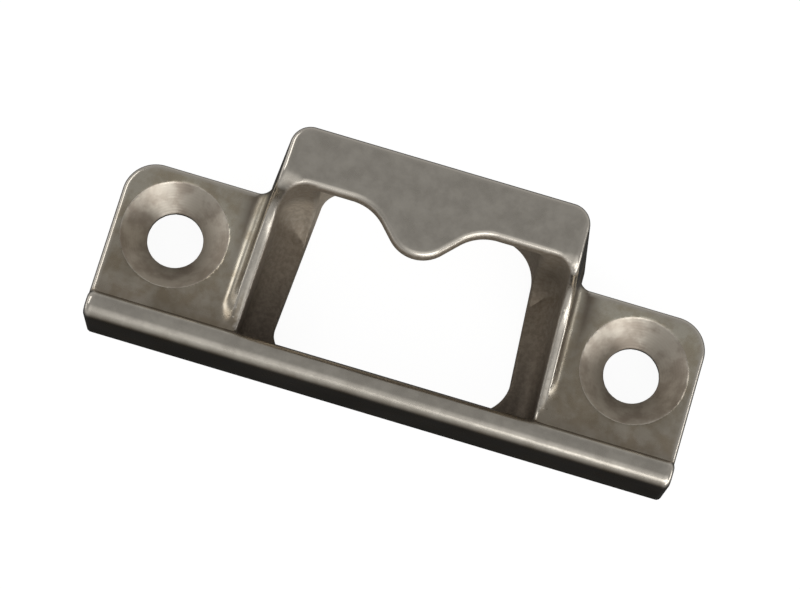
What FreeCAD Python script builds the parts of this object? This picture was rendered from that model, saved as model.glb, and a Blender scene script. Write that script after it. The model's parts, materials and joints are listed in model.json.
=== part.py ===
import FreeCAD, Part
import math
import os

# Window sash lock keeper: one investment casting in stainless steel, in millimetres.
# +X runs along the keeper, +Y from the front rail to the bridge, +Z up off the mounting face.
# The origin is the centre of the bounding box's bottom. Depths are counted back from the
# rail's front face, and heights up from the mounting face.

V = FreeCAD.Vector

# Ears: the two flat lugs that take the screws
length = 50.7
ear_depth = 14.5
ear_top = 5.8
ear_thickness = 2.7
ear_corner_radius = 2.8
ear_edge_radius = 0.6

# Front rail: the straight bar along the front edge, a little longer than the ears
rail_depth = 2.4
rail_height = 6.85
rail_overhang = 0.1
rail_front_radius = 1.1
rail_back_radius = 0.9
rail_end_radius = 0.7

# Bridge: the raised hood over the back of the window. It stands a little to the right of the
# middle, and it is modelled about its own middle and then moved there.
bridge_depth = 19.5
bridge_height = 12.7
bridge_width = 25.25
bridge_flare = 1.0
bridge_draft_angle = 5.5
bridge_corner_radius = 1.7
bridge_offset = 0.25
side_wall = 0.6
rim_outer_radius = 0.4
plate_thickness = 1.7

# Side walls' top edge, swept up from the ears' top to the bridge
ramp_start_depth = 3.3
ramp_slope_angle = 14.0
ramp_face_angle = 76.0
ramp_face_length = 0.55
ramp_crest_radius = 0.9

# Webs: the fillets in plan between the ears' back edge and the bridge
web_radius = 1.3
web_sink = 0.05

# Lip: the bridge's wavy front edge with its nose, placed from the bridge's middle
lip_depth = 14.95
lip_corner_radius = 1.4
lip_top_radius = 0.6
lip_bottom_radius = 0.6
nose_offset = -0.2
nose_reach = 3.88
nose_tip_radius = 2.6
nose_flank_angle = 46.5
scallop_radius = 4.0

# Pocket between the side walls, with its low ledge, and the through window in its floor
pocket_flare = 0.7
pocket_floor_radius = 1.6
ledge_thickness = 1.6
ledge_width = 2.35
window_taper = 1.15
window_front_left_radius = 1.8
window_front_right_radius = 3.0
window_back_radius = 2.0
back_wall = 1.7

# Screw holes, countersunk for a flat head
hole_spacing = 40.0
hole_depth = 8.9
hole_diameter = 4.72
countersink_diameter = 9.15
countersink_angle = 90.0
countersink_break = 0.2

# Relief under each ear, which keeps the casting's walls even
relief_wall = 1.8
relief_corner_radius = 1.5

# A rounding takes at most this share of the wall or the gap that it lies along
rounding_share = 0.6

# How far cutting tools reach past the metal, how near a point lies to a line or a face that
# it is on, and how near one lies to a ruled wall. An edge is sampled at these shares of it.
over = 1.0
touch = 0.001
wall_touch = 0.02
edge_samples = (0.02, 0.5, 0.98)


def y_at(depth):
    """Row position of a depth counted back from the rail's front face."""
    return depth - bridge_depth / 2


def plan(height):
    """Places an outline's two numbers as X and Y at one height."""
    return lambda a, b: V(a, b, height)


def side_view(x):
    """Places an outline's two numbers as Y and Z at one X."""
    return lambda a, b: V(x, a, b)


def rounded_wire(corners, place):
    """Closed outline through corners (a, b, radius), each rounded by a tangent arc."""
    arcs = []
    for index, (a, b, radius) in enumerate(corners):
        here = place(a, b)
        before = place(*corners[index - 1][:2])
        after = place(*corners[(index + 1) % len(corners)][:2])
        back = (before - here).normalize()
        ahead = (after - here).normalize()
        half_angle = back.getAngle(ahead) / 2
        setback = radius / math.tan(half_angle)
        rise = radius / math.sin(half_angle) - radius
        middle = here + (back + ahead).normalize() * rise
        arcs.append((here + back * setback, middle, here + ahead * setback, radius))
    edges = []
    for index, (start, middle, end, radius) in enumerate(arcs):
        if radius > 0:
            edges.append(Part.Arc(start, middle, end).toShape())
        next_start = arcs[(index + 1) % len(arcs)][0]
        if (next_start - end).Length > touch:
            edges.append(Part.LineSegment(end, next_start).toShape())
    return Part.Wire(edges)


def prism(corners, bottom, top):
    """Upright solid with a rounded outline between two heights."""
    return Part.Face(rounded_wire(corners, plan(bottom))).extrude(V(0, 0, top - bottom))


def edges_where(shape, test):
    """Edges that pass a test on a point near each end and in the middle."""
    chosen = []
    for edge in shape.Edges:
        first, last = edge.ParameterRange
        points = [edge.valueAt(first + (last - first) * share) for share in edge_samples]
        if all(test(point) for point in points):
            chosen.append(edge)
    return chosen


def without_corners(edges):
    """The edges that run along a rim, leaving out the corners that stand up from it."""
    steepest = math.sin(math.radians((ramp_face_angle + 90) / 2))
    return [edge for edge in edges if abs(edge.tangentAt(edge.FirstParameter).z) < steepest]


def rail():
    """Bar of constant section with a rounded top and rounded ends."""
    half = length / 2 + rail_overhang
    section = rounded_wire(
        [
            (y_at(0), 0, 0),
            (y_at(rail_depth), 0, 0),
            (y_at(rail_depth), rail_height, rail_back_radius),
            (y_at(0), rail_height, rail_front_radius),
        ],
        side_view(-half),
    )
    bar = Part.Face(section).extrude(V(2 * half, 0, 0))
    end_edges = edges_where(bar, lambda p: abs(abs(p.x) - half) < touch and p.z > touch)
    return bar.makeFillet(rail_end_radius, end_edges)


def wall_lean(height):
    """How far the bridge's drafted sides stand out at a height, past their top edge."""
    return (bridge_height - height) * math.tan(math.radians(bridge_draft_angle))


def wall_half_width(depth, height):
    """Outer half width of the bridge at a depth and height, with its flare and draft."""
    return bridge_width / 2 + bridge_flare / 2 * (1 - depth / bridge_depth) + wall_lean(height)


def ears():
    """Flat plate of both ears, webbed to the bridge's side walls, with its top edges rounded."""
    left = -length / 2 - bridge_offset
    right = length / 2 - bridge_offset
    front = rail_depth / 2
    back = ear_depth + 2 * web_radius
    root = wall_half_width(ear_depth, ear_top) - web_sink
    corners = [
        (left, y_at(front), 0),
        (right, y_at(front), 0),
        (right, y_at(ear_depth), ear_corner_radius),
        (root, y_at(ear_depth), web_radius),
        (root, y_at(back), 0),
        (-root, y_at(back), 0),
        (-root, y_at(ear_depth), web_radius),
        (left, y_at(ear_depth), ear_corner_radius),
    ]
    plate = prism(corners, 0, ear_top)

    def on_rim(p):
        between = y_at(front) + touch < p.y < y_at(back) - touch
        return between and abs(p.z - ear_top) < touch

    return plate.makeFillet(ear_edge_radius, edges_where(plate, on_rim))


def bridge():
    """Hood before it is hollowed: drafted sides, and a side view swept up from the ears."""
    start = rail_depth / 2

    def outline(height):
        front = wall_half_width(start, height)
        back = wall_half_width(bridge_depth, height)
        corner = bridge_corner_radius + wall_lean(height)
        return rounded_wire(
            [
                (-front, y_at(start), 0),
                (front, y_at(start), 0),
                (back, y_at(bridge_depth), corner),
                (-back, y_at(bridge_depth), corner),
            ],
            plan(height),
        )

    drafted = Part.makeLoft([outline(0), outline(bridge_height)], True, True)
    gentle = math.tan(math.radians(ramp_slope_angle))
    steep = math.tan(math.radians(ramp_face_angle))
    crest = lip_depth - ramp_crest_radius * math.tan(math.radians(ramp_face_angle / 2))
    rise = bridge_height - ear_top
    foot = (steep * crest - rise - gentle * ramp_start_depth) / (steep - gentle)
    foot_height = bridge_height - steep * (crest - foot)
    face_length = math.hypot(crest - foot, bridge_height - foot_height)
    face_room = face_length - (lip_depth - crest) - ramp_face_length
    turn = math.radians(ramp_face_angle - ramp_slope_angle)
    hollow_radius = face_room / math.tan(turn / 2)
    near = start - over
    near_height = ear_top + gentle * (near - ramp_start_depth)
    far = bridge_depth + over
    side = rounded_wire(
        [
            (y_at(near), -over, 0),
            (y_at(far), -over, 0),
            (y_at(far), bridge_height, 0),
            (y_at(crest), bridge_height, ramp_crest_radius),
            (y_at(foot), foot_height, hollow_radius),
            (y_at(near), near_height, 0),
        ],
        side_view(-length / 2),
    )
    swept = Part.Face(side).extrude(V(length, 0, 0))
    hood = drafted.common(swept)

    def on_outer_rim(p):
        flank = abs(abs(p.x) - wall_half_width(p.y - y_at(0), p.z)) < wall_touch
        ahead = p.y > y_at(start) + touch
        raised = p.z > ear_top - rim_outer_radius
        behind = p.y > y_at(bridge_depth - bridge_corner_radius) - touch
        return (flank and ahead and raised) or (behind and p.z > bridge_height - touch)

    radius = min(rim_outer_radius, rounding_share * side_wall)
    return hood.makeFillet(radius, without_corners(edges_where(hood, on_outer_rim)))


def lip_corners(front_half, back_half, front_depth):
    """The pocket's outline in plan: two walls, two scallops and the nose between them."""
    flank = math.radians(nose_flank_angle)
    tip_depth = lip_depth - nose_reach
    apex_depth = tip_depth - nose_tip_radius * (1 / math.cos(flank) - 1)
    flank_foot = (lip_depth - apex_depth) / math.tan(flank)
    return [
        (-front_half, y_at(front_depth), 0),
        (front_half, y_at(front_depth), 0),
        (back_half, y_at(lip_depth), lip_corner_radius),
        (nose_offset + flank_foot, y_at(lip_depth), scallop_radius),
        (nose_offset, y_at(apex_depth), nose_tip_radius),
        (nose_offset - flank_foot, y_at(lip_depth), scallop_radius),
        (-back_half, y_at(lip_depth), lip_corner_radius),
    ]


def pocket_half_width(depth):
    """Half width between the side walls: one wall in from the bridge's top edge, and flared."""
    flare = pocket_flare / 2 * (1 - depth / lip_depth)
    return wall_half_width(depth, bridge_height) - side_wall + flare


def pocket():
    """Space between the side walls, bounded behind by the lip's line, with a rounded floor."""
    front = rail_depth / 2
    corners = lip_corners(pocket_half_width(front), pocket_half_width(lip_depth), front)
    space = prism(corners, ledge_thickness, bridge_height + over)
    floor = edges_where(space, lambda p: p.z < ledge_thickness + touch and p.y > y_at(front) + touch)
    return space.makeFillet(pocket_floor_radius, floor)


def nose():
    """Plate ahead of the lip's line, before the pocket trims it to the wavy outline."""
    half = pocket_half_width(lip_depth) - lip_corner_radius - over
    front = lip_depth - nose_reach - over
    back = lip_depth + over
    corners = [
        (-half, y_at(front), 0),
        (half, y_at(front), 0),
        (half, y_at(back), 0),
        (-half, y_at(back), 0),
    ]
    return prism(corners, bridge_height - plate_thickness, bridge_height)


def window():
    """Through window in the floor, carried up under the plate as a pocket for the cam."""
    front = pocket_half_width(rail_depth) - ledge_width
    back = front - window_taper
    back_depth = bridge_depth - back_wall
    corners = [
        (-front, y_at(rail_depth), window_front_left_radius),
        (front, y_at(rail_depth), window_front_right_radius),
        (back, y_at(back_depth), window_back_radius),
        (-back, y_at(back_depth), window_back_radius),
    ]
    return prism(corners, -over, bridge_height - plate_thickness)


def screw_hole(x):
    """Through hole, its countersink and the small break at the countersink's edge."""
    y = y_at(hole_depth)
    hole_radius = hole_diameter / 2
    sink_radius = countersink_diameter / 2
    slope = math.tan(math.radians(countersink_angle / 2))
    sink_bottom = ear_top - (sink_radius - hole_radius) / slope
    sink_top = ear_top + over
    bore = Part.makeCylinder(hole_radius, sink_top + over, V(x, y, -over))
    cone_top_radius = sink_radius + over * slope
    cone = Part.makeCone(hole_radius, cone_top_radius, sink_top - sink_bottom, V(x, y, sink_bottom))
    edge_break = Part.makeCone(
        sink_radius - countersink_break,
        sink_radius + countersink_break,
        countersink_break / 2,
        V(x, y, ear_top - countersink_break / 4),
    )
    return bore.fuse([cone, edge_break])


def relief(side):
    """Hollow under one ear."""
    inner = side * (wall_half_width(ear_depth, 0) + relief_wall / 2) + bridge_offset
    outer = side * (length / 2 - relief_wall)
    corners = [
        (inner, y_at(rail_depth), relief_corner_radius),
        (outer, y_at(rail_depth), relief_corner_radius),
        (outer, y_at(ear_depth - relief_wall), relief_corner_radius),
        (inner, y_at(ear_depth - relief_wall), relief_corner_radius),
    ]
    return prism(corners, -over, ear_top - ear_thickness)


def on_lip(p):
    """True on the pocket's top edge: the lip's wavy line and the side walls' inner rims."""
    depth = p.y - y_at(0)
    side = pocket_half_width(depth)
    beside = abs(abs(p.x) - side) < touch and p.z > ear_top + touch
    ahead = lip_depth - nose_reach - touch < depth < lip_depth + touch
    raised = p.z > bridge_height - plate_thickness + touch
    return beside or (abs(p.x) < side + touch and ahead and raised)


def under_lip(p):
    """True on the lower edge of the lip and nose, over the window."""
    depth = p.y - y_at(0)
    ahead = lip_depth - nose_reach - touch < depth < lip_depth + touch
    return ahead and abs(p.z - (bridge_height - plate_thickness)) < touch


def keeper():
    """The whole casting: ears, bridge and rail, with its pocket, window, reliefs and holes."""
    body = ears().fuse(bridge()).cut(window())
    body = body.fuse(nose()).removeSplitter()
    body = body.cut(pocket())
    top_radius = min(lip_top_radius, rounding_share * side_wall)
    body = body.makeFillet(top_radius, without_corners(edges_where(body, on_lip)))
    plate_overhang = bridge_depth - back_wall - lip_depth
    bottom_radius = min(lip_bottom_radius, rounding_share * plate_overhang)
    body = body.makeFillet(bottom_radius, edges_where(body, under_lip))
    body.translate(V(bridge_offset, 0, 0))
    body = body.fuse(rail()).removeSplitter()
    x = hole_spacing / 2
    return body.cut([relief(-1), relief(1), screw_hole(-x), screw_hole(x)]).removeSplitter()


os.makedirs("parts", exist_ok=True)
keeper().exportStep("parts/keeper_casting.step")
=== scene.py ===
import json
import math
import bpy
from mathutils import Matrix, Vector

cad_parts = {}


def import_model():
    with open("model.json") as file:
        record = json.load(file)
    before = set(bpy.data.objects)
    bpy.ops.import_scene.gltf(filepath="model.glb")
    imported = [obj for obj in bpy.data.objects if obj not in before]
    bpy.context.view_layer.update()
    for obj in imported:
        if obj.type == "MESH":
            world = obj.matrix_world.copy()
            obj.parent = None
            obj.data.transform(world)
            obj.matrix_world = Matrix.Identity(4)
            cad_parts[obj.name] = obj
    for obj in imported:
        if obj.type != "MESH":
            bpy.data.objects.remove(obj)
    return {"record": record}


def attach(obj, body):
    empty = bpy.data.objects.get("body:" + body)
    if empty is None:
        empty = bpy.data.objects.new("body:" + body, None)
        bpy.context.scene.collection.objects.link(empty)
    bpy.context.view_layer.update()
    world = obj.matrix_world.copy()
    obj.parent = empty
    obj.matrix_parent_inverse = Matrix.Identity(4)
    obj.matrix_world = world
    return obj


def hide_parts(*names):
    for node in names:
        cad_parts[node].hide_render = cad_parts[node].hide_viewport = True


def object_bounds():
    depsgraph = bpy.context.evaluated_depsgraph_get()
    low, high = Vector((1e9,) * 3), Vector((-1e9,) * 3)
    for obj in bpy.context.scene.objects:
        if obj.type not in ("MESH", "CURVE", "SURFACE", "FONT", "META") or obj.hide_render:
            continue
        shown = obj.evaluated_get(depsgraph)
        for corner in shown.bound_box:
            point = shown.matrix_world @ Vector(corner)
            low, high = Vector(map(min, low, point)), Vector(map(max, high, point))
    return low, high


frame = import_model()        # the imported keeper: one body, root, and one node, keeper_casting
from types import SimpleNamespace

import bpy
import numpy as np
from mathutils import Matrix, Vector

cad_box = [[float(value) for value in corner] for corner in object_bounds()]

# The casting. One investment casting in stainless steel: two ears with screw holes, a rail
# along the front, and a raised hood over a window that the sash lock's cam turns into. It is
# cast to shape, tumbled to a satin face, and its two countersinks are turned afterwards.

# Its shape is one signed distance, worked out on a grid and made into a mesh. Sizes are in
# millimetres, and depths are counted back from the rail's front face. Most sizes repeat those
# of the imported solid. Some are fitted closer to the photo, mostly by a few tenths of a
# millimetre, and the radii of edges and hollow corners are the casting's own.
MM = 0.001
box_low, box_high = np.array(cad_box) / MM
total_length, bridge_depth, bridge_height = box_high - box_low
mounts = {mount["name"]: mount for mount in frame["record"]["mounts"]}
screw_holes = mounts["screw_holes"]

rail_overhang = 0.1
hood_offset = 0.22
length = total_length - 2 * rail_overhang
ear_depth = 14.45
ear_top = 5.8
ear_thickness = 2.7
ear_corner_radius = 2.85
ear_edge_radius = 0.45

rail_depth = 2.35
rail_height = 6.85
rail_front_radius = 1.15
rail_back_radius = 0.9
rail_end_radius = 0.5
rail_left_end = 25.3
rail_right_end = 25.4
groove_radius = 0.22

bridge_width = 25.45
bridge_flare = 1.0
bridge_left_draft = math.radians(5.5)
bridge_right_draft = math.radians(4.2)
bridge_corner_radius = 1.7
bridge_edge_radius = 0.5
side_wall = 0.6
rim_radius = 0.34
foot_radius = 1.25
web_radius = 1.1
plate_thickness = 1.7

ramp_start_depth = 3.3
ramp_slope = math.radians(14.0)
ramp_face = math.radians(76.0)
ramp_face_length = 0.55
ramp_crest_radius = 0.9
wall_crest_radius = 2.0

lip_depth = 14.78
lip_left_depth = 14.58
lip_left_corner_radius = 2.2
lip_right_corner_radius = 1.4
lip_top_radius = 0.6
lip_bottom_radius = 0.6
nose_offset = -0.42
nose_reach = 3.45
nose_tip_radius = 3.0
nose_flank = math.radians(46.5)
nose_margin = 1.0
scallop_radius = 4.0

ledge_thickness = 1.6
ledge_width = 2.44
ledge_edge_radius = 0.25
pocket_flare = 0.7
pocket_floor_radius = 1.6
pocket_back_radius = 4.2
toe_radius = 0.9
window_left_taper = 0.95
window_right_taper = 1.15
window_turn = 0.13
window_front_left_radius = 2.3
window_front_right_radius = 3.3
window_back_left_radius = 2.0
window_back_right_radius = 3.6
window_roof_radius = 0.4
back_wall = 1.7

hole_spacing = screw_holes["dims"]["spacing_x_mm"]
hole_radius = screw_holes["dims"]["hole_r_mm"]
hole_depth = screw_holes["pos_m"][1] / MM + bridge_depth / 2
countersink_radius = 4.575
countersink_break = 0.12
countersink_clearance = 1.0
relief_wall = 1.8
relief_corner_radius = 1.5
relief_roof_radius = 0.5
sole_edge_radius = 0.12

# Distances over which one radius passes into another. The crest's are from the hood's middle,
# the bridge's, the floor's and the lip's from the lip's line, which the nose leads, the web's
# from the ears' back, the ledge's from the plate's underside, and the lip's ends and the toe's
# from the side walls. The toe fades in from just under the ears' top down to its last height.
crest_blend_start = 9.5
crest_blend_end = 12.0
bridge_blend = 1.0
floor_blend_start = 7.0
floor_blend_end = 3.0
ledge_blend = 1.0
lip_blend = 1.5
lip_end_start = 0.2
lip_end_full = 1.8
nose_lead = 4.0
nose_blend_start = 9.0
nose_blend_end = 6.0
web_blend = 1.5
toe_blend = 0.8
toe_top = 0.6
toe_bottom = 3.0

mesh_step = 0.2
mesh_margin = 0.35

# Limits of the ball along an edge: none rolls between faces that nearly point apart, and the
# small numbers keep a division from failing.
opposed = -0.95
least_divisor = 1e-6
least_reach = 1e-9


def surface(distance, *outward):
    """Four rows for a surface: the signed distance to it, and the unit direction out of it."""
    rows = np.empty((4,) + distance.shape)
    rows[0] = distance
    for row, part in zip(rows[1:], outward):
        row[...] = part
    return rows / np.sqrt((rows[1:] ** 2).sum(axis=0))


def inside_both(a, b, radius=0.0):
    """
    What lies inside two surfaces, with a ball of the radius rolled along their edge.

    The ball's centre lies one radius inside both. A point's offset from it is a sum of the two
    directions, and where both shares are positive the point faces the ball and not the walls.
    """
    result = np.where(a[0] > b[0], a, b)
    over_a = a[0] + radius
    over_b = b[0] + radius
    cosine = (a[1:] * b[1:]).sum(axis=0)
    spread = np.maximum(1 - cosine ** 2, least_divisor)
    share_a = (over_a - cosine * over_b) / spread
    share_b = (over_b - cosine * over_a) / spread
    offset = share_a * a[1:] + share_b * b[1:]
    reach = np.sqrt((offset ** 2).sum(axis=0))
    on_ball = (share_a > 0) & (share_b > 0) & (cosine > opposed)
    on_ball = on_ball & (reach > least_reach) & (np.asarray(radius) > 0)
    result[0] = np.where(on_ball, reach - radius, result[0])
    result[1:] = np.where(on_ball, offset / np.where(on_ball, reach, 1), result[1:])
    return result


def inside_either(a, b, radius=0.0):
    """What lies inside one surface or the other, with a ball of the radius along the hollow."""
    return -inside_both(-a, -b, radius)


def inside_all(first, *others):
    """What lies inside every surface, with sharp edges."""
    for other in others:
        first = inside_both(first, other)
    return first


def ease(low, high, value):
    """0 up to low, 1 from high on, and 3t^2 - 2t^3 between; it falls where low is above high."""
    t = np.clip((value - low) / (high - low), 0, 1)
    return t * t * (3 - 2 * t)


def places(x, y, z):
    """Points with the numbers that the shapes use: depth, and distance and sense from x = 0."""
    return SimpleNamespace(x=x, z=z, depth=y - box_low[1], side=np.abs(x), sense=np.sign(x))


def behind(at, depth):
    """Everything further back than a depth."""
    return surface(depth - at.depth, 0, -1, 0)


def before(at, depth):
    """Everything nearer the front than a depth."""
    return surface(at.depth - depth, 0, 1, 0)


def under(at, height):
    """Everything lower than a height."""
    return surface(at.z - height, 0, 0, 1)


def above(at, height):
    """Everything higher than a height."""
    return surface(height - at.z, 0, 0, -1)


def within(at, half_width, narrowing=0.0, draft=0.0):
    """Everything between two side faces, which close in with depth and with height."""
    return surface(at.side - half_width, at.sense, narrowing, draft)


# The ears, the hood and the pocket start inside the rail, which closes their front.
flare_slope = bridge_flare / 2 / bridge_depth
front_start = rail_depth / 2


def hood_half_width(depth):
    """Half width of the hood at its top."""
    return bridge_width / 2 + bridge_flare / 2 - flare_slope * depth


def ears(at):
    """Flat plate of both ears."""
    plan = inside_both(within(at, length / 2), before(at, ear_depth), ear_corner_radius)
    return inside_both(inside_both(plan, behind(at, front_start)), under(at, ear_top), ear_edge_radius)


def hood(at):
    """
    Hood before it is hollowed out.

    The sides are drafted planes. The side view is a gentle line up from the ears and a steep
    one to the crest, with a ball of the largest radius that leaves the steep line its length.
    """
    draft_slope = np.where(at.x < 0, math.tan(bridge_left_draft), math.tan(bridge_right_draft))
    drop = (bridge_height - at.z) * draft_slope
    sides = within(at, hood_half_width(at.depth) + drop, flare_slope, draft_slope)
    plan = inside_both(sides, before(at, bridge_depth), bridge_corner_radius + np.maximum(drop, 0))
    crest = lip_depth - ramp_crest_radius * math.tan(ramp_face / 2)
    on_wall = ease(crest_blend_start, crest_blend_end, at.side)
    crest_radius = ramp_crest_radius + (wall_crest_radius - ramp_crest_radius) * on_wall
    steep = math.tan(ramp_face)
    gentle = math.tan(ramp_slope)
    rise = bridge_height - ear_top
    foot = (steep * crest - rise - gentle * ramp_start_depth) / (steep - gentle)
    face_room = (crest - foot) / math.cos(ramp_face) - (lip_depth - crest) - ramp_face_length
    hollow_radius = face_room / math.tan((ramp_face - ramp_slope) / 2)
    ramp = surface(
        (at.z - ear_top) * math.cos(ramp_slope) - (at.depth - ramp_start_depth) * math.sin(ramp_slope),
        0, -math.sin(ramp_slope), math.cos(ramp_slope),
    )
    face = surface(
        (at.z - bridge_height) * math.cos(ramp_face) - (at.depth - crest) * math.sin(ramp_face),
        0, -math.sin(ramp_face), math.cos(ramp_face),
    )
    roof = inside_both(under(at, bridge_height), face, crest_radius)
    profile = inside_either(ramp, roof, hollow_radius)
    on_bridge = ease(lip_depth - bridge_blend, lip_depth + bridge_blend, at.depth)
    edge_radius = rim_radius + (bridge_edge_radius - rim_radius) * on_bridge
    return inside_both(inside_both(plan, profile, edge_radius), behind(at, front_start))


def nose_plate(at):
    """Plate ahead of the lip's line, with a margin that the pocket trims to the wavy outline."""
    half = hood_half_width(lip_depth) - side_wall - lip_right_corner_radius - nose_margin
    return inside_all(
        under(at, bridge_height), above(at, bridge_height - plate_thickness), within(at, half),
        behind(at, lip_depth - nose_reach - nose_margin), before(at, lip_depth + nose_margin),
    )


def pocket_half_width(depth):
    """Half width between the side walls: one wall in from the hood's top edge, and flared."""
    return hood_half_width(depth) - side_wall + pocket_flare / 2 * (1 - depth / lip_depth)


def pocket(at):
    """Space between the side walls, up to the lip's wavy line, over a rounded floor."""
    tip_to_apex = nose_tip_radius * (1 / math.cos(nose_flank) - 1)
    ahead = lip_depth - nose_reach - tip_to_apex - at.depth
    flanks = [
        surface(
            ahead * math.cos(nose_flank) + sense * (at.x - nose_offset) * math.sin(nose_flank),
            sense * math.sin(nose_flank), -math.cos(nose_flank), 0,
        )
        for sense in (-1, 1)
    ]
    nose = inside_both(*flanks, nose_tip_radius)
    lip_line = np.where(at.x < 0, lip_left_depth, lip_depth)
    wavy = inside_both(before(at, lip_line), -nose, scallop_radius)
    slope = flare_slope + pocket_flare / 2 / lip_depth
    walls = within(at, pocket_half_width(at.depth), slope)
    corner_radius = np.where(at.x < 0, lip_left_corner_radius, lip_right_corner_radius)
    plan = inside_both(wavy, walls, corner_radius)
    at_back = ease(lip_depth - floor_blend_start, lip_depth - floor_blend_end, at.depth)
    floor_radius = pocket_floor_radius + (pocket_back_radius - pocket_floor_radius) * at_back
    space = inside_both(plan, above(at, ledge_thickness), floor_radius)
    return inside_both(space, behind(at, front_start))


def window(at):
    """Through window in the floor, carried up under the plate as a pocket for the cam."""
    back = bridge_depth - back_wall
    front_half = pocket_half_width(rail_depth) - ledge_width
    taper = np.where(at.x < 0, window_left_taper, window_right_taper) / (back - rail_depth)
    half_width = front_half + window_turn * at.sense - taper * (at.depth - rail_depth)
    sides = within(at, half_width, taper)
    back_radius = np.where(at.x < 0, window_back_left_radius, window_back_right_radius)
    front_radius = np.where(at.x < 0, window_front_left_radius, window_front_right_radius)
    plan = inside_both(sides, before(at, back), back_radius)
    plan = inside_both(plan, behind(at, rail_depth), front_radius)
    return inside_both(plan, under(at, bridge_height - plate_thickness), window_roof_radius)


def metal_outside_hollow(at):
    """All that the pocket and the window leave, with the lip's and the ledges' edges eased."""
    high = ease(ear_top, bridge_height - plate_thickness - ledge_blend, at.z)
    edge_radius = ledge_edge_radius + (lip_bottom_radius - ledge_edge_radius) * high
    return inside_both(-pocket(at), -window(at), edge_radius)


def rail(at):
    """Bar along the front with a rounded top and rounded ends."""
    bar = inside_both(behind(at, 0), under(at, rail_height), rail_front_radius)
    bar = inside_both(bar, before(at, rail_depth), rail_back_radius)
    half_length = np.where(at.x < 0, rail_left_end, rail_right_end)
    return inside_both(bar, within(at, half_length), rail_end_radius)


def reliefs(at):
    """Hollow under each ear, which keeps the casting's walls even."""
    inner = bridge_width / 2 + bridge_flare / 2 * (1 - ear_depth / bridge_depth)
    inner = inner + bridge_height * math.tan(bridge_left_draft) + relief_wall / 2
    inner = inner + hood_offset * at.sense
    back = before(at, ear_depth - relief_wall)
    plan = inside_both(within(at, length / 2 - relief_wall), back, relief_corner_radius)
    plan = inside_both(plan, behind(at, rail_depth), relief_corner_radius)
    plan = inside_both(plan, surface(inner - at.side, -at.sense, 0, 0), relief_corner_radius)
    return inside_both(plan, under(at, ear_top - ear_thickness), relief_roof_radius)


def screw_hole(at):
    """Bore and 90 degree countersink, at the same place in both ears."""
    across = at.side - hole_spacing / 2
    along = at.depth - hole_depth
    radius = np.maximum(np.hypot(across, along), least_divisor)
    out_x = at.sense * across / radius
    out_y = along / radius
    bore = surface(radius - hole_radius, out_x, out_y, 0)
    cone = surface(radius - countersink_radius - at.z + ear_top, out_x, out_y, -1)
    roof = under(at, ear_top + countersink_clearance)
    cone = inside_all(cone, above(at, ear_top - countersink_radius), roof)
    return inside_either(bore, cone)


def keeper(x, y, z):
    """
    The whole casting: its signed distance and outward direction at each point.

    The hood joins the ears, the pocket and the window are cut, the rail is added over the cut,
    and the hollows under the ears, the screw holes and the flat sole come last.
    """
    at = places(x, y, z)
    here = places(x - hood_offset, y, z)
    on_web = ease(ear_depth - web_blend, ear_depth, at.depth)
    bridge = inside_either(hood(here), nose_plate(here))
    body = inside_either(ears(at), bridge, foot_radius + (web_radius - foot_radius) * on_web)
    from_wall = pocket_half_width(here.depth) - here.side
    lead = nose_lead * ease(nose_blend_start, nose_blend_end, here.side)
    on_lip = ease(lip_end_start, lip_end_full, from_wall)
    on_lip = on_lip * ease(lip_depth - lip_blend, lip_depth, here.depth + lead)
    top_radius = rim_radius + (lip_top_radius - rim_radius) * on_lip
    body = inside_both(body, metal_outside_hollow(here), top_radius)
    in_pocket = ease(0, toe_blend, from_wall) * ease(ear_top - toe_top, toe_bottom, at.z)
    body = inside_either(body, rail(at), groove_radius + (toe_radius - groove_radius) * in_pocket)
    body = inside_both(body, -reliefs(at), sole_edge_radius)
    body = inside_both(body, -screw_hole(at), countersink_break)
    return inside_both(body, above(at, 0), sole_edge_radius)


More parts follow.
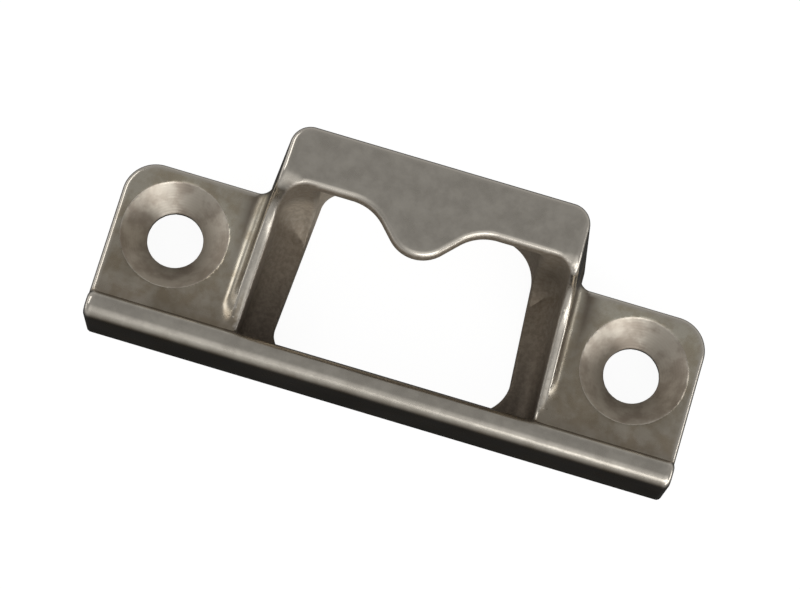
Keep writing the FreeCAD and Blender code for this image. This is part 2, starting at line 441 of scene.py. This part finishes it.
def mesh_of(field, low, high, step):
    """
    Points and quads on a field's surface: one point in each grid cell that it passes through.

    Where a grid line crosses the surface, the field gives a point and a direction, which are a
    small tangent plane. A cell's point is the nearest one to the planes on its lines, by least
    squares, so crisp edges stay crisp. The four cells around a crossed line make a quad.

    A crossing is refined along its line by x - distance / slope, unless the surface runs nearly
    along the line. A cell's 16 sums are 9 for n n^T, 3 for n times its plane's reach, 3 for the
    points and their count. A small pull to the points' mean settles what flat cells leave open.
    """
    refinements = 2
    least_slope = 0.2
    pull = 0.02
    counts = [math.ceil((end - start) / step) + 1 for start, end in zip(low, high)]
    lines = [start + step * np.arange(n) for start, n in zip(low, counts)]
    grid = np.meshgrid(*lines, indexing="ij")
    distance = field(*grid)[0]
    cells = np.array(counts) - 1
    strides = np.array([cells[1] * cells[2], cells[2], 1])
    total = int(np.prod(cells))
    sums = np.zeros((total, 16))
    quads = []
    for axis in range(3):
        near = np.moveaxis(distance, axis, 0)[:-1]
        far = np.moveaxis(distance, axis, 0)[1:]
        crossed = np.argwhere((near < 0) != (far < 0))
        first = near[tuple(crossed.T)]
        last = far[tuple(crossed.T)]
        order = [n + 1 if n < axis else 0 if n == axis else n for n in range(3)]
        crossed = crossed[:, order]
        points = np.array(low) + step * crossed
        start = points[:, axis].copy()
        points[:, axis] += step * first / (first - last)
        for _ in range(refinements):
            sample = field(*points.T)
            slope = sample[1 + axis]
            moved = points[:, axis] - sample[0] / np.where(np.abs(slope) > least_slope, slope, np.inf)
            points[:, axis] = np.clip(moved, start, start + step)
        sample = field(*points.T)
        normals = sample[1:].T
        reach = (normals * points).sum(axis=1) - sample[0]
        rows = np.concatenate(
            [
                (normals[:, :, None] * normals[:, None, :]).reshape(-1, 9),
                normals * reach[:, None],
                points,
                np.ones((len(points), 1)),
            ],
            axis=1,
        )
        u = strides[(axis + 1) % 3]
        v = strides[(axis + 2) % 3]
        here = crossed @ strides
        around = np.stack([here - u - v, here - v, here, here - u], axis=1)
        for column in range(16):
            weights = np.repeat(rows[:, column], 4)
            sums[:, column] += np.bincount(around.ravel(), weights, total)
        quads.append(np.where((first > last)[:, None], around[:, ::-1], around))
    used = np.flatnonzero(sums[:, 15])
    count = sums[used, 15:]
    middle = sums[used, 12:15] / count
    matrix = sums[used, :9].reshape(-1, 3, 3) + pull * np.eye(3)
    target = sums[used, 9:12] + pull * middle
    points = np.linalg.solve(matrix, target[:, :, None])[:, :, 0]
    corner = np.array(low) + step * np.stack(np.unravel_index(used, cells), axis=1)
    points = np.clip(points, corner, corner + step)
    number = np.zeros(total, dtype=int)
    number[used] = np.arange(len(used))
    return points, number[np.concatenate(quads)]


# The grid is shifted a little, so that none of its planes lies in a flat face of the casting.
grid_shift = np.array([0.03, 0.05, -0.02])
mesh_low = box_low - mesh_margin - grid_shift
points, quads = mesh_of(keeper, mesh_low, box_high + mesh_margin, mesh_step)
points = np.clip(points, box_low, box_high)

casting_mesh = bpy.data.meshes.new("keeper_casting_finished")
casting_mesh.from_pydata((points * MM).tolist(), [], quads.tolist())
casting = bpy.data.objects.new("keeper_casting_finished", casting_mesh)
bpy.context.scene.collection.objects.link(casting)
casting_mesh.polygons.foreach_set("use_smooth", np.ones(len(quads), dtype=bool))

# Shading directions come from the field. A corner of a quad takes its point's direction,
# unless the field a little way into the quad points well away from it, as at a crisp edge.
crisp_turn = math.cos(math.radians(28))
inset = 0.35
at_points = keeper(*points.T)[1:].T
corners = quads.ravel()
centres = np.repeat(points[quads].mean(axis=1), 4, axis=0)
at_corners = keeper(*(points[corners] * (1 - inset) + centres * inset).T)[1:].T
turned = (at_corners * at_points[corners]).sum(axis=1) < crisp_turn
directions = np.where(turned[:, None], at_corners, at_points[corners])
casting_mesh.normals_split_custom_set(directions.tolist())

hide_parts("keeper_casting")
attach(casting, "root")


def hex_colour(code):
    """Linear colour of an sRGB hex value."""
    parts = [int(code[i:i + 2], 16) / 255 for i in (1, 3, 5)]
    linear = [c / 12.92 if c <= 0.04045 else ((c + 0.055) / 1.055) ** 2.4 for c in parts]
    return (*linear, 1.0)


def add(tree, kind, inputs=None, output=None, **settings):
    """
    Adds a node, and gives back the output socket that is asked for, or else the node.

    Each input is a value for its socket, or another node's socket to link to it.
    """
    node = tree.nodes.new(kind)
    for name, value in settings.items():
        setattr(node, name, value)
    for name, value in (inputs or {}).items():
        if isinstance(value, bpy.types.NodeSocket):
            tree.links.new(value, node.inputs[name])
        else:
            node.inputs[name].default_value = value
    return node if output is None else node.outputs[output]


def new_material(name):
    """An empty node material, and its tree."""
    material = bpy.data.materials.new(name)
    material.use_nodes = True
    material.node_tree.nodes.clear()
    return material, material.node_tree


# Finish of the casting: austenitic stainless steel, cast and then tumbled in stone media. High
# faces come out satin, low ones are browner and darker towards the rail, partly a bloom and
# partly painted shade, and edges are rubbed bright. The hollow keeps the mould's grainy skin,
# with a painted shadow of the rail at its front and a painted pool of light low on its left
# back wall.

# Patterns, each with its size in millimetres, its levels of detail and their strength.
patterns = {
    "cloud": (5.5, 5.0, 0.55),
    "bloom": (1.6, 5.0, 0.62),
    "waves": (1.3, 2.0, 0.4),
    "grain": (0.3, 3.0, 0.6),
    "pits": (0.4, 4.0, 0.65),
}

# Parts of the casting, each with an axis and the places in millimetres where it begins and
# where it is reached in full.
zones = {
    "raised": ("Z", 6.0, 6.7),
    "back": ("Y", -7.5, 3.0),
    # back_wall, left and low place the painted pool of light in the hollow.
    "back_wall": ("Y", 2.5, 5.0),
    "left": ("X", 6.0, -6.0),
    "low": ("Z", 9.0, 5.0),
}

# Tints, each with the pattern that it follows, the values between which the pattern turns it,
# and its two colours.
tints = {
    "clean": ("cloud", 0.3, 0.7, "#b8b1a3", "#ccc6b6"),
    # Browner and darker at the front, towards the rail: partly a bloom, partly painted shade.
    "bloom_and_painted_shade": ("cloud", 0.3, 0.7, "#968d7e", "#b3aa9c"),
    "mottled": ("bloom", 0.34, 0.64, "#e3ddd4", "#ffffff"),
    "satin": ("bloom", 0.3, 0.7, "#aea89e", "#c2bcb1"),
    # The hollow's skin is darker at the front, a painted shadow of the rail, and lighter behind it.
    "skin_in_painted_shadow": ("pits", 0.35, 0.65, "#5a5147", "#695f54"),
    "skin_beyond_painted_shadow": ("pits", 0.35, 0.65, "#867a6b", "#978c7d"),
    # Pale skin for a painted pool of light, low on the hollow's left back wall.
    "skin_painted_lit_wall": ("pits", 0.35, 0.65, "#bdb1a0", "#d4c9b8"),
}
# Corner colour: partly a dull bloom, partly painted shade in hollow corners and the rail's groove.
bloom_and_corner_shade_colour = "#6a6056"
rubbed_colour = "#d0c9be"

# Colours laid over each other in turn: the result, how it is mixed, the mask that it follows,
# and the colours where the mask is 0 and where it is 1.
layers = [
    # darker towards the rail: partly bloom, partly painted shade
    ("face", "MIX", "back", "bloom_and_painted_shade", "clean"),
    ("face", "MULTIPLY", "everywhere", "face", "mottled"),
    ("face", "MIX", "raised", "face", "satin"),
    # painted shade and dull bloom where the air over the surface is thin
    ("face", "MIX", "corner", "face", "bloom_and_corner_shade"),
    ("face", "MIX", "edge", "face", "rubbed"),
    # painted shadow of the rail over the front of the hollow
    ("skin", "MIX", "back", "skin_in_painted_shadow", "skin_beyond_painted_shadow"),
    # painted pool of light low on the hollow's left back wall
    ("skin", "MIX", "painted_light_on_wall", "skin", "skin_painted_lit_wall"),
    ("finish", "MIX", "hollow", "face", "skin"),
]

# Roughness of the satin faces over the bloom's values, and of the rest; how metallic the raw
# skin is; and how deep each pattern's bumps are, in millimetres.
satin_roughness = (0.28, 0.21)
satin_span = (0.3, 0.7)
other_roughness = {"corner": 0.56, "edge": 0.22, "hollow": 0.55}
skin_metallic = 0.7
wave_depth = 0.012
grain_depth = 0.0025
pit_depth = 0.03

# A mix of colours takes its share at input 0 and its colours at 6 and 7, and has output 2.
SHARE = 0
UNDER = 6
OVER = 7
MIXED = 2
MIX = "ShaderNodeMix"
MAP = "ShaderNodeMapRange"
MATH = "ShaderNodeMath"
BUMP = "ShaderNodeBump"


def tumbled_stainless():
    """Satin metal with clouds, bloom, soft waves and fine grain, and raw skin in the hollow."""
    material, tree = new_material("tumbled_stainless")
    place = add(tree, "ShaderNodeTexCoord", output="Object")
    parts = add(tree, "ShaderNodeSeparateXYZ", {"Vector": place})

    noise = {}
    for name, (size, detail, roughness) in patterns.items():
        noise[name] = add(tree, "ShaderNodeTexNoise", {
            "Vector": place, "Scale": 1 / (size * MM), "Detail": detail, "Roughness": roughness,
        }, "Fac")

    mask = {"everywhere": 1.0}
    for name in ("hollow", "edge", "corner"):
        mask[name] = add(tree, "ShaderNodeAttribute", output="Fac", attribute_name=name)
    for name, (axis, start, end) in zones.items():
        mask[name] = add(tree, MAP, {
            "Value": parts.outputs[axis], "From Min": start * MM, "From Max": end * MM,
        }, "Result", interpolation_type="SMOOTHSTEP")
    # Where the painted pool of light lies: the back wall of the hollow, at its left and low down.
    painted_light_low_left = add(tree, MATH, {0: mask["left"], 1: mask["low"]}, "Value", operation="MULTIPLY")
    mask["painted_light_on_wall"] = add(tree, MATH, {0: mask["back_wall"], 1: painted_light_low_left}, "Value", operation="MULTIPLY")

    colour = {"bloom_and_corner_shade": hex_colour(bloom_and_corner_shade_colour), "rubbed": hex_colour(rubbed_colour)}
    for name, (pattern, start, end, dark, light) in tints.items():
        share = add(tree, MAP, {
            "Value": noise[pattern], "From Min": start, "From Max": end,
        }, "Result", interpolation_type="SMOOTHSTEP")
        colour[name] = add(tree, MIX, {
            SHARE: share, UNDER: hex_colour(dark), OVER: hex_colour(light),
        }, MIXED, data_type="RGBA")
    for name, blend, share, under, over in layers:
        colour[name] = add(tree, MIX, {
            SHARE: mask[share], UNDER: colour[under], OVER: colour[over],
        }, MIXED, data_type="RGBA", blend_type=blend)

    roughness = add(tree, MAP, {
        "Value": noise["bloom"], "From Min": satin_span[0], "From Max": satin_span[1],
        "To Min": satin_roughness[0], "To Max": satin_roughness[1],
    }, "Result", interpolation_type="SMOOTHSTEP")
    for name, value in other_roughness.items():
        roughness = add(tree, MIX, {"Factor": mask[name], "A": roughness, "B": value}, "Result")
    metallic = add(tree, MAP, {
        "Value": mask["hollow"], "To Min": 1.0, "To Max": skin_metallic,
    }, "Result")

    normal = add(tree, BUMP, {
        "Strength": 1.0, "Distance": wave_depth * MM, "Height": noise["waves"],
    }, "Normal")
    normal = add(tree, BUMP, {
        "Strength": 1.0, "Distance": grain_depth * MM, "Height": noise["grain"], "Normal": normal,
    }, "Normal")
    normal = add(tree, BUMP, {
        "Strength": mask["hollow"], "Distance": pit_depth * MM, "Height": noise["pits"],
        "Normal": normal,
    }, "Normal")
    shader = add(tree, "ShaderNodeBsdfPrincipled", {
        "Base Color": colour["finish"], "Metallic": metallic, "Roughness": roughness,
        "Normal": normal,
    }, "BSDF")
    add(tree, "ShaderNodeOutputMaterial", {"Surface": shader})
    return material


# Finish of the screw holes: the same steel, cut on a drill press after the casting is tumbled.
# The countersink's rings spread a lamp's reflection along the slope, into a fan. Real rings
# are about 0.05 mm apart, and they are drawn at 0.2 mm so that they show.
ring_pitch = 0.2
ring_depth = 0.0012
blotch_pattern = (2.0, 4.0, 0.6)
blotch_span = (0.35, 0.62)
blotch_colours = ("#aea396", "#cdc5b8")
turned_roughness = 0.34
turned_anisotropy = 0.6


def turned_stainless():
    """
    Bright cut metal with rings about each hole's axis.

    The rings are sin(2 pi r / pitch), where r is the distance from the nearer hole's axis. The
    sheen's direction is the outward one there, in Object coordinates.
    """
    material, tree = new_material("turned_stainless")
    place = add(tree, "ShaderNodeTexCoord", output="Object")
    parts = add(tree, "ShaderNodeSeparateXYZ", {"Vector": place})
    hole_x = hole_spacing / 2 * MM
    hole_y = screw_holes["pos_m"][1]
    side = add(tree, MATH, {0: parts.outputs["X"]}, "Value", operation="ABSOLUTE")
    across = add(tree, MATH, {0: side, 1: hole_x}, "Value", operation="SUBTRACT")
    sense = add(tree, MATH, {0: parts.outputs["X"]}, "Value", operation="SIGN")
    along = add(tree, MATH, {0: parts.outputs["Y"], 1: hole_y}, "Value", operation="SUBTRACT")
    out_x = add(tree, MATH, {0: across, 1: sense}, "Value", operation="MULTIPLY")
    outward = add(tree, "ShaderNodeCombineXYZ", {"X": out_x, "Y": along}, "Vector")
    radius = add(tree, "ShaderNodeVectorMath", {0: outward}, "Value", operation="LENGTH")
    turn_per_metre = math.tau / (ring_pitch * MM)
    turns = add(tree, MATH, {0: radius, 1: turn_per_metre}, "Value", operation="MULTIPLY")
    rings = add(tree, MATH, {0: turns}, "Value", operation="SINE")

    size, detail, roughness = blotch_pattern
    blotch = add(tree, "ShaderNodeTexNoise", {
        "Vector": place, "Scale": 1 / (size * MM), "Detail": detail, "Roughness": roughness,
    }, "Fac")
    share = add(tree, MAP, {
        "Value": blotch, "From Min": blotch_span[0], "From Max": blotch_span[1],
    }, "Result", interpolation_type="SMOOTHSTEP")
    dark, light = blotch_colours
    colour = add(tree, MIX, {
        SHARE: share, UNDER: hex_colour(dark), OVER: hex_colour(light),
    }, MIXED, data_type="RGBA")
    normal = add(tree, BUMP, {
        "Strength": 1.0, "Distance": ring_depth * MM, "Height": rings,
    }, "Normal")
    shader = add(tree, "ShaderNodeBsdfPrincipled", {
        "Base Color": colour, "Metallic": 1.0, "Roughness": turned_roughness,
        "Anisotropic": turned_anisotropy, "Normal": normal, "Tangent": outward,
    }, "BSDF")
    add(tree, "ShaderNodeOutputMaterial", {"Surface": shader})
    return material


casting_mesh.materials.append(tumbled_stainless())
casting_mesh.materials.append(turned_stainless())

# Where each finish lies. A quad is turned metal where it is on a screw hole's surface and not
# level. Levelness is the share of its area, the cross product of its diagonals, that faces up.
turned_nearness = 0.06
turned_levelness = 0.9
least_area = 1e-9
corner_a, corner_b, corner_c, corner_d = (points[quads[:, n]] for n in range(4))
areas = np.cross(corner_c - corner_a, corner_d - corner_b)
levelness = np.abs(areas[:, 2]) / np.maximum(np.linalg.norm(areas, axis=1), least_area)
to_hole = np.abs(screw_hole(places(*points[quads].mean(axis=1).T))[0])
in_hole = (to_hole < turned_nearness) & (levelness < turned_levelness)
casting_mesh.polygons.foreach_set("material_index", in_hole.astype(np.int32))


def bend(points, directions, quads):
    """
    How sharply a surface bends at each point, in 1/mm: above zero where it bulges.

    Along a quad's side from a to b it is (n_b - n_a) . (p_b - p_a) / |p_b - p_a|^2, and a
    point takes the mean over the sides that meet there. A round edge gives 1 / (2 radius).
    """
    least_squared = 1e-4
    start = quads.ravel()
    end = np.roll(quads, -1, axis=1).ravel()
    along = points[end] - points[start]
    squared = np.maximum((along ** 2).sum(axis=1), least_squared)
    bent = ((directions[end] - directions[start]) * along).sum(axis=1) / squared
    ends = np.concatenate([start, end])
    total = np.bincount(ends, np.tile(bent, 2), len(points))
    return total / np.bincount(ends, minlength=len(points))


# A point is in the hollow where the pocket or the window cut it, off the rail. It is on an edge
# where the surface bulges sharply, but not round the turned countersinks, and in a corner where
# the air over it is thin, which is where the tumbling media reach less and where shade falls:
# its darker colour there is partly a dull bloom and partly painted shade.
# Each pair says where the mask begins and where it is full: distances in millimetres, the bend
# in 1/mm, and the share of the air that is missing.
hollow_fade = (-0.2, -0.03)
rail_fade = (0.0, 0.15)
hole_fade = (0.15, 0.5)
edge_bend = (0.4, 1.1)
corner_fill = (0.02, 0.7)
reach_out = 3.0
at = places(*points.T)
here = places(points[:, 0] - hood_offset, points[:, 1], points[:, 2])
near_hollow = ease(*hollow_fade, metal_outside_hollow(here)[0]) * ease(*rail_fade, rail(at)[0])
off_hole = ease(*hole_fade, np.abs(screw_hole(at)[0]))
on_edge = ease(*edge_bend, bend(points, at_points, quads)) * off_hole
over_skin = keeper(*(points + reach_out * at_points).T)[0]
# Share of painted shade and dull bloom: more where the air over the point is thin.
corner_bloom_and_shade = ease(*corner_fill, 1 - over_skin / reach_out)
for name, values in (("hollow", near_hollow), ("edge", on_edge), ("corner", corner_bloom_and_shade)):
    attribute = casting_mesh.attributes.new(name, "FLOAT", "POINT")
    attribute.data.foreach_set("value", values)
casting_mesh.update()

# Floor: a plain white board, lit evenly, with only a soft shadow under the keeper. The metal
# doesn't mirror it, so the keeper's upright faces stay dark, as they do beside a studio board.
floor_half = 2.0
floor_colour = "#696969"
floor_roughness = 0.9
floor_glow_colour = "#ffffff"
floor_glow = 0.94

floor_corners = ((-1, -1), (1, -1), (1, 1), (-1, 1))
floor_mesh = bpy.data.meshes.new("floor")
floor_mesh.from_pydata([(x * floor_half, y * floor_half, 0) for x, y in floor_corners], [], [(0, 1, 2, 3)])
floor = bpy.data.objects.new("floor", floor_mesh)
bpy.context.scene.collection.objects.link(floor)
board, board_tree = new_material("white_board")
paint = add(board_tree, "ShaderNodeBsdfPrincipled", {
    "Base Color": hex_colour(floor_colour), "Roughness": floor_roughness,
    "Emission Color": hex_colour(floor_glow_colour), "Emission Strength": floor_glow,
}, "BSDF")
add(board_tree, "ShaderNodeOutputMaterial", {"Surface": paint})
floor_mesh.materials.append(board)
floor.visible_glossy = False

# Camera. The photo looks down on the keeper from the front and a little to the right, from
# about 28 cm, with the camera turned so that the keeper's right end drops in the picture.
aim = Vector((-0.546, 0.116, 4.0)) * MM
camera_distance = 278.0 * MM
camera_azimuth = 6.943
camera_elevation = 77.343
camera_roll = 9.742
lens = 148.92
sensor_width = 36.0


def direction(azimuth, elevation):
    """Unit vector towards a place in the room; azimuth 0 is in front, at -Y, and 90 is at +X."""
    a = math.radians(azimuth)
    e = math.radians(elevation)
    return Vector((math.sin(a) * math.cos(e), -math.cos(a) * math.cos(e), math.sin(e)))


def facing(towards, roll=0.0):
    """Rotation whose +Z points along a unit vector, with +X level and then rolled."""
    level = Vector((0, 0, 1)).cross(towards)
    level = level.normalized() if level.length > 1e-6 else Vector((1, 0, 0))
    upright = Matrix((level, towards.cross(level), towards)).transposed()
    return upright.to_4x4() @ Matrix.Rotation(math.radians(roll), 4, "Z")


camera = bpy.data.objects.new("camera", bpy.data.cameras.new("camera"))
camera.data.lens = lens
camera.data.sensor_width = sensor_width
camera.data.clip_start = 0.01
camera.data.clip_end = 10.0
towards_camera = direction(camera_azimuth, camera_elevation)
camera_place = Matrix.Translation(aim + camera_distance * towards_camera)
camera.matrix_world = camera_place @ facing(towards_camera, camera_roll)
bpy.context.scene.collection.objects.link(camera)
bpy.context.scene.camera = camera
bpy.context.scene.view_settings.view_transform = "Standard"

# Studio: a dim room with a broad soft glow above the front, a low strip to the front right that
# the countersinks mirror, a box in front, a high box at the left that draws the bright lines
# along the left edges, and a weak low strip at the left.

# The room's brightness at its elevations in degrees. It is nearly dark straight below.
room = [(-90, 0.02), (-40, 0.06), (-12, 0.36), (5, 0.55), (25, 0.4), (50, 0.37), (78, 0.41)]
glow_azimuth = 20
glow_elevation = 45
glow_radius = 45
glow_level = 0.5

world = bpy.data.worlds.new("studio")
world.use_nodes = True
tree = world.node_tree
tree.nodes.clear()
sky = add(tree, "ShaderNodeTexCoord", output="Generated")
up = add(tree, "ShaderNodeSeparateXYZ", {"Vector": sky}, "Z")
share = add(tree, MAP, {"Value": up, "From Min": -1.0, "From Max": 1.0}, "Result")
gradient = add(tree, "ShaderNodeValToRGB", {"Fac": share})
while len(gradient.color_ramp.elements) < len(room):
    gradient.color_ramp.elements.new(0.5)
for element, (elevation, brightness) in zip(gradient.color_ramp.elements, room):
    element.position = (math.sin(math.radians(elevation)) + 1) / 2
    element.color = (brightness, brightness, brightness, 1)
towards_glow = tuple(direction(glow_azimuth, glow_elevation))
nearness = add(tree, "ShaderNodeVectorMath", {0: sky, 1: towards_glow}, "Value", operation="DOT_PRODUCT")
glow = add(tree, MAP, {
    "Value": nearness, "From Min": math.cos(math.radians(glow_radius)), "From Max": 1.0,
    "To Min": 0.0, "To Max": glow_level,
}, "Result", interpolation_type="SMOOTHSTEP")
room_light = gradient.outputs["Color"]
light = add(tree, "ShaderNodeVectorMath", {0: room_light, 1: glow}, "Vector", operation="ADD")
background = add(tree, "ShaderNodeBackground", {"Color": light, "Strength": 1.0}, "Background")
add(tree, "ShaderNodeOutputWorld", {"Surface": background})
bpy.context.scene.world = world


def soft_box(name, azimuth, elevation, distance, width, height, radiance):
    """Rectangular lamp facing the keeper, as bright as its radiance in W/m2/sr."""
    lamp = bpy.data.lights.new(name, "AREA")
    lamp.shape = "RECTANGLE"
    lamp.size = width
    lamp.size_y = height
    lamp.energy = radiance * math.pi * width * height
    holder = bpy.data.objects.new(name, lamp)
    towards = direction(azimuth, elevation)
    holder.matrix_world = Matrix.Translation(aim + towards * distance) @ facing(towards)
    bpy.context.scene.collection.objects.link(holder)


# Name, azimuth and elevation in degrees, distance, width and height in metres, and radiance.
lamps = [
    ("low_strip", 62, 8, 0.35, 0.60, 0.09, 2.1),
    ("front_box", 29, 34, 0.5, 0.38, 0.20, 1.8),
    ("left_box", -112, 44, 0.5, 0.30, 0.14, 2.2),
    ("left_strip", -88, 9, 0.4, 0.40, 0.09, 0.7),
]
for lamp_values in lamps:
    soft_box(*lamp_values)
